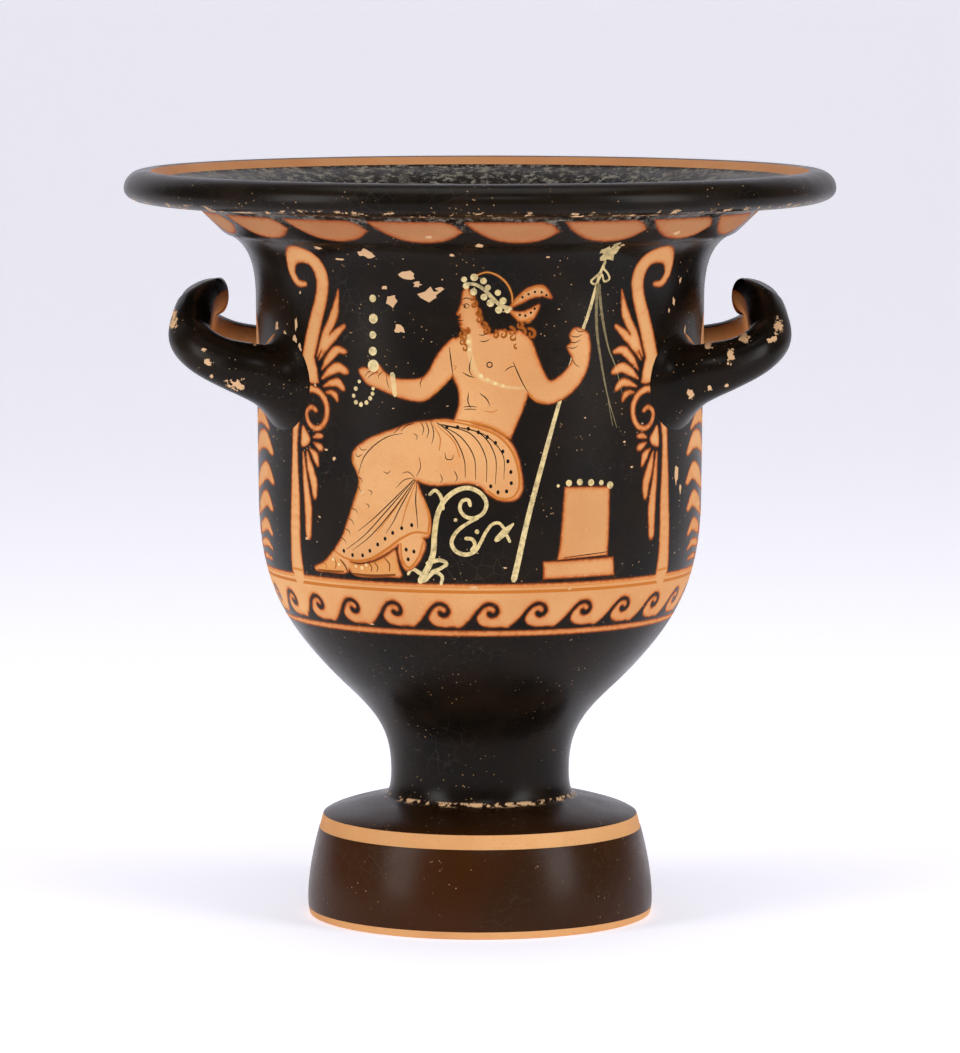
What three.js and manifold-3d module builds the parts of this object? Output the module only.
// Bell krater: a deep bowl with an everted lip, on a short stem and a heavy drum foot, with two
// upturned loop handles low on the wall. It is thrown and joined in wet clay and fired as one piece,
// so it is one solid. Millimetres, +Z up, origin on the axis at the plane the foot stands on.
// The handles lie on the X axis, and the two pictures face -Y and +Y.
import * as THREE from "three";
import { mergeVertices } from "three/addons/utils/BufferGeometryUtils.js";
import Module from "manifold-3d";

const wasm = await Module();
wasm.setup();

// --- Driving sizes -------------------------------------------------------------------------------
const HEIGHT = 360; // standing plane to the crest of the lip
const LIP_RADIUS = 170.6; // widest ring of the lip
const WALL_RADIUS = 107; // upright wall between the handles
const WALL_THICKNESS = 7;
const STEM_RADIUS = 43;
const FOOT_RADIUS = 83.3;
const FOOT_EDGE_HEIGHT = 49; // upper edge of the foot's drum

// Derived heights of the parts of the profile, from the foot up.
const FOOT_BAND_HEIGHT = FOOT_EDGE_HEIGHT - 7;
const STEM_BASE_HEIGHT = FOOT_EDGE_HEIGHT + 9;
const STEM_WAIST_HEIGHT = STEM_BASE_HEIGHT + 12;
const BOWL_FLOOR_HEIGHT = 86;
const BELLY_HEIGHT = 206; // where the swelling belly runs into the upright wall
const FLARE_HEIGHT = 302; // where the wall begins to turn outwards
const LEDGE_HEIGHT = 328.6; // small step under the leaf zone
const LIP_UNDERSIDE = HEIGHT - 15.6;

// Foot, underside.
const STAND_RING_INNER = 66;
const STAND_RING_OUTER = 81.2;
const HOLLOW_RADIUS = 27; // top of the hollow that runs up into the stem
const HOLLOW_HEIGHT = 66;

// Handles.
const HANDLE_ROOT_ANGLE = THREE.MathUtils.degToRad(29); // each root, either side of the X axis
const HANDLE_ROOT_HEIGHT = 262;
const HANDLE_ROOT_DEPTH = 8; // how far a root starts behind the outside of the wall
const HANDLE_REACH = 140.8; // centre line at its furthest from the axis
const HANDLE_TOP = 298.3; // centre line at the top of the bow
const HANDLE_RADIUS_BOW = 9.7;
const HANDLE_RADIUS_ARM = 11.4;
const HANDLE_FLARE = 17; // how much a root swells where it runs into the wall
const HANDLE_FLARE_REACH = 42; // the swelling dies out this far along the arm

// Mesh fineness.
const AROUND = 60;
const HANDLE_SIDES = 14;
const HANDLE_RINGS = 32;

// --- Profile -------------------------------------------------------------------------------------
const at = (r, z) => new THREE.Vector2(r, z);

// Outside of the vessel, from the standing ring up to the crest of the lip.
function outsideProfile() {
  const foot = new THREE.CubicBezierCurve(
    at(STAND_RING_OUTER, 0),
    at(FOOT_RADIUS + 0.9, 4),
    at(FOOT_RADIUS + 0.6, 20),
    at(FOOT_RADIUS - 5.4, FOOT_BAND_HEIGHT),
  );
  const footShoulder = new THREE.CubicBezierCurve(
    at(FOOT_RADIUS - 7.2, FOOT_EDGE_HEIGHT),
    at(FOOT_RADIUS - 10, FOOT_EDGE_HEIGHT + 3.2),
    at(STEM_RADIUS + 14, STEM_BASE_HEIGHT - 2.6),
    at(STEM_RADIUS + 2.4, STEM_BASE_HEIGHT),
  );
  const stem = new THREE.CubicBezierCurve(
    at(STEM_RADIUS + 2.4, STEM_BASE_HEIGHT),
    at(STEM_RADIUS + 0.3, STEM_BASE_HEIGHT + 3),
    at(STEM_RADIUS, STEM_WAIST_HEIGHT - 5),
    at(STEM_RADIUS, STEM_WAIST_HEIGHT),
  );
  const calyx = new THREE.CubicBezierCurve(
    at(STEM_RADIUS, STEM_WAIST_HEIGHT),
    at(STEM_RADIUS, STEM_WAIST_HEIGHT + 21),
    at(STEM_RADIUS + 8.5, STEM_WAIST_HEIGHT + 29.5),
    at(STEM_RADIUS + 24, STEM_WAIST_HEIGHT + 44),
  );
  const belly = new THREE.CubicBezierCurve(
    at(STEM_RADIUS + 24, STEM_WAIST_HEIGHT + 44),
    at(STEM_RADIUS + 53, STEM_WAIST_HEIGHT + 73),
    at(WALL_RADIUS - 0.4, BELLY_HEIGHT - 43),
    at(WALL_RADIUS - 0.4, BELLY_HEIGHT),
  );
  const wall = new THREE.LineCurve(
    at(WALL_RADIUS - 0.4, BELLY_HEIGHT),
    at(WALL_RADIUS + 0.7, FLARE_HEIGHT),
  );
  const flare = new THREE.CubicBezierCurve(
    at(WALL_RADIUS + 0.7, FLARE_HEIGHT),
    at(WALL_RADIUS + 1.2, FLARE_HEIGHT + 14),
    at(WALL_RADIUS + 5, FLARE_HEIGHT + 22.5),
    at(WALL_RADIUS + 11.8, LEDGE_HEIGHT),
  );
  const ledge = new THREE.QuadraticBezierCurve(
    at(WALL_RADIUS + 11.8, LEDGE_HEIGHT),
    at(WALL_RADIUS + 15.6, LEDGE_HEIGHT + 0.4),
    at(WALL_RADIUS + 17, LEDGE_HEIGHT + 2.6),
  );
  const underLip = new THREE.CubicBezierCurve(
    at(WALL_RADIUS + 25.5, LIP_UNDERSIDE - 5),
    at(WALL_RADIUS + 28.5, LIP_UNDERSIDE - 1),
    at(LIP_RADIUS - 28, LIP_UNDERSIDE + 1.4),
    at(LIP_RADIUS - 15, LIP_UNDERSIDE + 0.2),
  );
  const lipBottom = new THREE.CubicBezierCurve(
    at(LIP_RADIUS - 15, LIP_UNDERSIDE + 0.2),
    at(LIP_RADIUS - 7, LIP_UNDERSIDE - 0.4),
    at(LIP_RADIUS, LIP_UNDERSIDE + 2),
    at(LIP_RADIUS, LIP_UNDERSIDE + 6.8),
  );
  const lipTop = new THREE.CubicBezierCurve(
    at(LIP_RADIUS, LIP_UNDERSIDE + 6.8),
    at(LIP_RADIUS, LIP_UNDERSIDE + 12),
    at(LIP_RADIUS - 4.4, HEIGHT),
    at(LIP_RADIUS - 9.8, HEIGHT),
  );
  return [
    ...foot.getPoints(5),
    ...footShoulder.getPoints(3),
    ...stem.getPoints(2).slice(1),
    ...calyx.getPoints(4).slice(1),
    ...belly.getPoints(6).slice(1),
    ...wall.getPoints(1).slice(1),
    ...flare.getPoints(3).slice(1),
    ...ledge.getPoints(2).slice(1),
    ...underLip.getPoints(3),
    ...lipBottom.getPoints(4).slice(1),
    ...lipTop.getPoints(4).slice(1),
  ];
}

// Inside of the bowl, from the crest of the lip down to the middle of its floor.
function insideProfile() {
  const innerWall = WALL_RADIUS - WALL_THICKNESS;
  const innerLip = new THREE.CubicBezierCurve(
    at(LIP_RADIUS - 9.8, HEIGHT),
    at(LIP_RADIUS - 14.5, HEIGHT),
    at(LIP_RADIUS - 15.5, HEIGHT - 2.5),
    at(LIP_RADIUS - 20, HEIGHT - 5),
  );
  const throat = new THREE.CubicBezierCurve(
    at(LIP_RADIUS - 20, HEIGHT - 5),
    at(LIP_RADIUS - 38, HEIGHT - 10),
    at(innerWall + 4, LEDGE_HEIGHT + 8),
    at(innerWall, FLARE_HEIGHT - 2),
  );
  const bowl = new THREE.CubicBezierCurve(
    at(innerWall - 0.6, BELLY_HEIGHT),
    at(innerWall - 0.6, BELLY_HEIGHT - 44),
    at(STEM_RADIUS + 30, BOWL_FLOOR_HEIGHT + 31),
    at(STEM_RADIUS + 4, BOWL_FLOOR_HEIGHT + 12),
  );
  const floor = new THREE.CubicBezierCurve(
    at(STEM_RADIUS + 4, BOWL_FLOOR_HEIGHT + 12),
    at(STEM_RADIUS - 12, BOWL_FLOOR_HEIGHT + 1.5),
    at(14, BOWL_FLOOR_HEIGHT),
    at(0, BOWL_FLOOR_HEIGHT),
  );
  return [
    ...innerLip.getPoints(3),
    ...throat.getPoints(4).slice(1),
    ...bowl.getPoints(5),
    ...floor.getPoints(3).slice(1),
  ];
}

// Hollow under the foot, from the axis down to the standing ring.
function hollowProfile() {
  const dome = new THREE.QuadraticBezierCurve(
    at(0, HOLLOW_HEIGHT),
    at(HOLLOW_RADIUS, HOLLOW_HEIGHT),
    at(HOLLOW_RADIUS + 2, HOLLOW_HEIGHT - 16),
  );
  const skirt = new THREE.CubicBezierCurve(
    at(HOLLOW_RADIUS + 2, HOLLOW_HEIGHT - 16),
    at(HOLLOW_RADIUS + 9, HOLLOW_HEIGHT - 34),
    at(STAND_RING_INNER - 2, FOOT_EDGE_HEIGHT - 10),
    at(STAND_RING_INNER, 0),
  );
  return [...dome.getPoints(2), ...skirt.getPoints(4).slice(1)];
}

// --- Solids --------------------------------------------------------------------------------------
// A closed three.js geometry as a manifold-3d solid.
function solidOf(geometry) {
  const bare = geometry.clone();
  bare.deleteAttribute("normal");
  bare.deleteAttribute("uv");
  const merged = mergeVertices(bare, 1e-3);
  return new wasm.Manifold(
    new wasm.Mesh({
      numProp: 3,
      vertProperties: merged.attributes.position.array,
      triVerts: new Uint32Array(merged.index.array),
    }),
  );
}

// A manifold-3d solid as a three.js geometry with flat faces.
function geometryOf(solid) {
  const mesh = solid.getMesh();
  const geometry = new THREE.BufferGeometry();
  geometry.setAttribute("position", new THREE.BufferAttribute(mesh.vertProperties, 3));
  geometry.setIndex(new THREE.BufferAttribute(mesh.triVerts, 1));
  geometry.computeVertexNormals();
  return geometry;
}

// A profile turned about Z. LatheGeometry turns about Y, so the result is tipped up.
function turned(profile) {
  return new THREE.LatheGeometry(profile, AROUND).rotateX(Math.PI / 2);
}

// The thrown body as if it were full to the brim, with its foot hollow underneath.
function fullBody() {
  return turned([...hollowProfile(), ...outsideProfile(), at(0, HEIGHT)]);
}

// The room inside the bowl, from its floor to just above the crest of the lip.
function bowlRoom() {
  const inside = insideProfile().reverse();
  const crest = inside[inside.length - 1].x;
  return turned([...inside, at(crest, HEIGHT + 5), at(0, HEIGHT + 5)]);
}

// Centre line of the handle on +X, from inside the wall at one root, over the bow, to the other.
function handleLine() {
  const onRoot = (r, z) => new THREE.Vector3(
    r * Math.cos(HANDLE_ROOT_ANGLE), r * Math.sin(HANDLE_ROOT_ANGLE), z);
  const half = [
    onRoot(WALL_RADIUS - HANDLE_ROOT_DEPTH, HANDLE_ROOT_HEIGHT - 1),
    onRoot(WALL_RADIUS, HANDLE_ROOT_HEIGHT),
    onRoot(WALL_RADIUS + 15, HANDLE_ROOT_HEIGHT + 3.5),
    new THREE.Vector3(HANDLE_REACH - 16, 56, HANDLE_ROOT_HEIGHT + 7.5),
    new THREE.Vector3(HANDLE_REACH - 5.5, 50, HANDLE_ROOT_HEIGHT + 11.8),
    new THREE.Vector3(HANDLE_REACH, 40, HANDLE_TOP - 17),
    new THREE.Vector3(HANDLE_REACH - 0.8, 28, HANDLE_TOP - 9),
    new THREE.Vector3(HANDLE_REACH - 2.8, 14, HANDLE_TOP - 2.5),
  ];
  const bow = new THREE.Vector3(HANDLE_REACH - 4, 0, HANDLE_TOP);
  const mirrored = half.map((p) => new THREE.Vector3(p.x, -p.y, p.z)).reverse();
  return new THREE.CatmullRomCurve3([...half, bow, ...mirrored], false, "centripetal");
}

// Radius of the handle at a share t of its length: slim at the bow, swelling into both roots.
function handleRadius(t, length) {
  const fromWall = Math.max(0, Math.min(t, 1 - t) * length - HANDLE_ROOT_DEPTH);
  const toBow = Math.min(1, fromWall / (length / 2 - HANDLE_ROOT_DEPTH));
  const tapered = THREE.MathUtils.lerp(HANDLE_RADIUS_ARM, HANDLE_RADIUS_BOW, toBow);
  return tapered + HANDLE_FLARE * Math.max(0, 1 - fromWall / HANDLE_FLARE_REACH) ** 2;
}

// A round bar bent along the handle's centre line.
function handle() {
  const line = handleLine();
  const length = line.getLength();
  const frames = line.computeFrenetFrames(HANDLE_RINGS, false);
  const bar = new THREE.CylinderGeometry(1, 1, 1, HANDLE_SIDES, HANDLE_RINGS, false);
  const position = bar.attributes.position;
  const corner = new THREE.Vector3();
  for (let i = 0; i < position.count; i++) {
    corner.fromBufferAttribute(position, i);
    const ring = Math.round((0.5 - corner.y) * HANDLE_RINGS);
    const radius = handleRadius(ring / HANDLE_RINGS, length);
    const place = line
      .getPointAt(ring / HANDLE_RINGS)
      .addScaledVector(frames.normals[ring], radius * corner.x)
      .addScaledVector(frames.binormals[ring], radius * corner.z);
    position.setXYZ(i, place.x, place.y, place.z);
  }
  return bar;
}

// Body and handles joined, then hollowed in one cut, so that no root end shows inside the bowl.
function krater() {
  const bar = solidOf(handle());
  const oppositeBar = bar.rotate([0, 0, 180]);
  const full = solidOf(fullBody()).add(bar).add(oppositeBar);
  return geometryOf(full.subtract(solidOf(bowlRoom())));
}

// --- Model ---------------------------------------------------------------------------------------
const model = new THREE.Group();
const glazedClay = new THREE.MeshStandardMaterial({ color: 0x1c140e, roughness: 0.35, metalness: 0 });
const vessel = new THREE.Mesh(krater(), glazedClay);
vessel.name = "krater";
model.add(vessel);

export default model;
